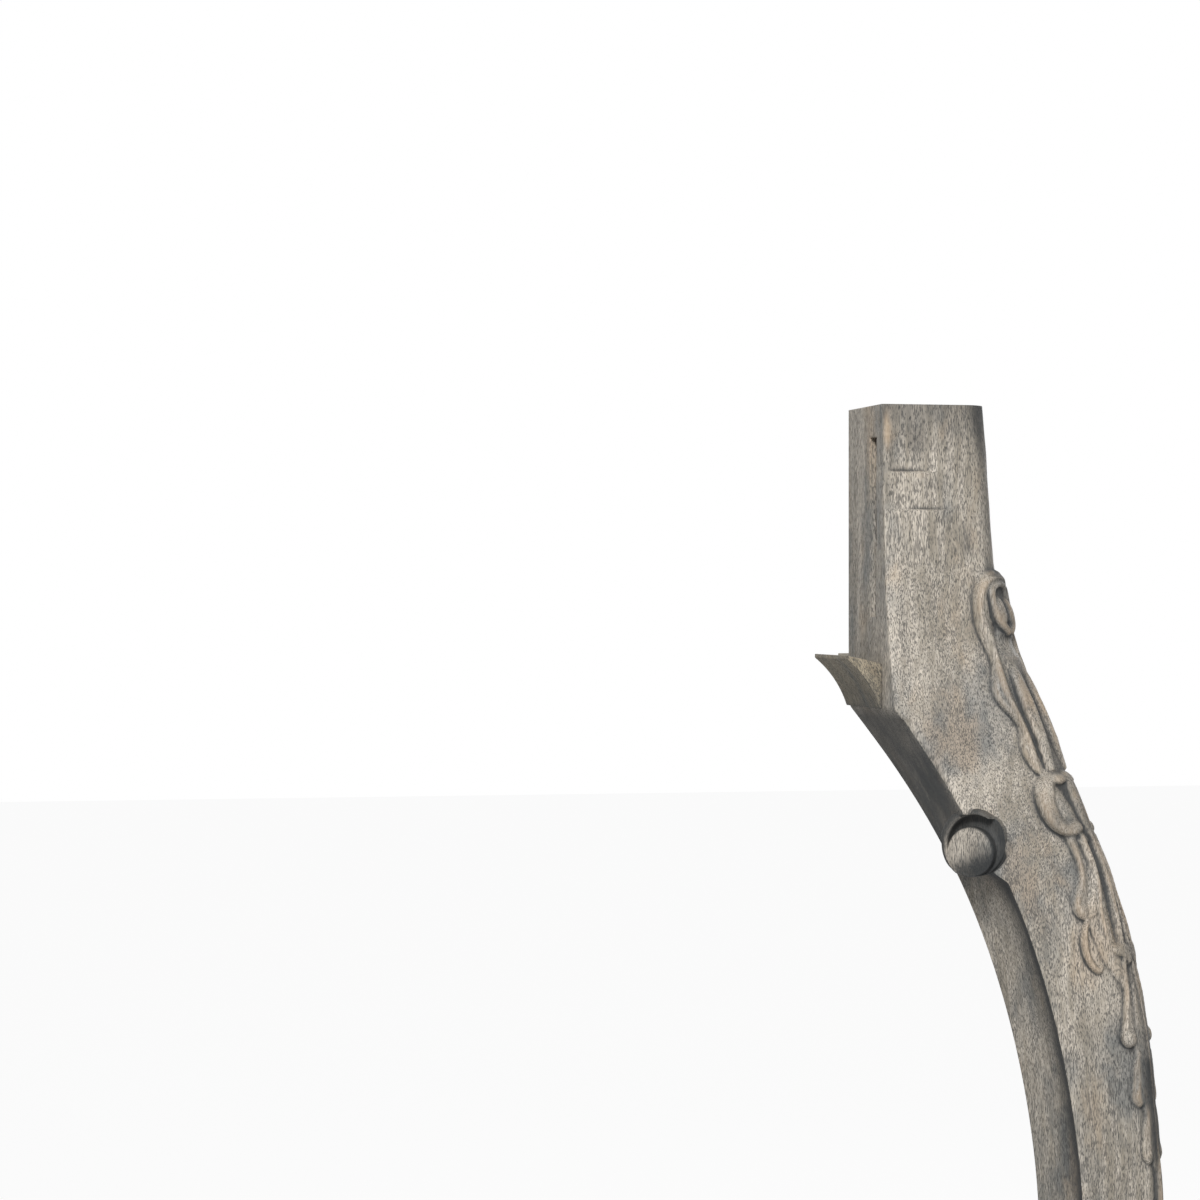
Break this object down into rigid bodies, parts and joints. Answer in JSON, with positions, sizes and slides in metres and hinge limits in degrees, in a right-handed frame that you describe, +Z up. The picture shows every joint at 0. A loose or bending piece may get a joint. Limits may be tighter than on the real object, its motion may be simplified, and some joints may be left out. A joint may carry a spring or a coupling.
{
  "type": "cabriole furniture leg",
  "caption": "carved hardwood cabriole leg with a square mortised post, a leaf down its outer corner, scrolled coves on its inner faces and two glued knee blocks",
  "frame": {"origin": "the middle of the foot's sole, on the floor", "axes": "+Z up the leg; the front face looks along -Y and the outer side along +X, so the carved knee points between them"},
  "size_m": [0.144, 0.144, 0.75],
  "materials": {
    "washed_wood": "grey-brown wash over a dark stain, rubbed back on the raised carving, satin"
  },
  "bodies": {
    "root": {"leg": "washed_wood", "knee_block_front": "washed_wood", "knee_block_side": "washed_wood"}
  },
  "joints": []
}
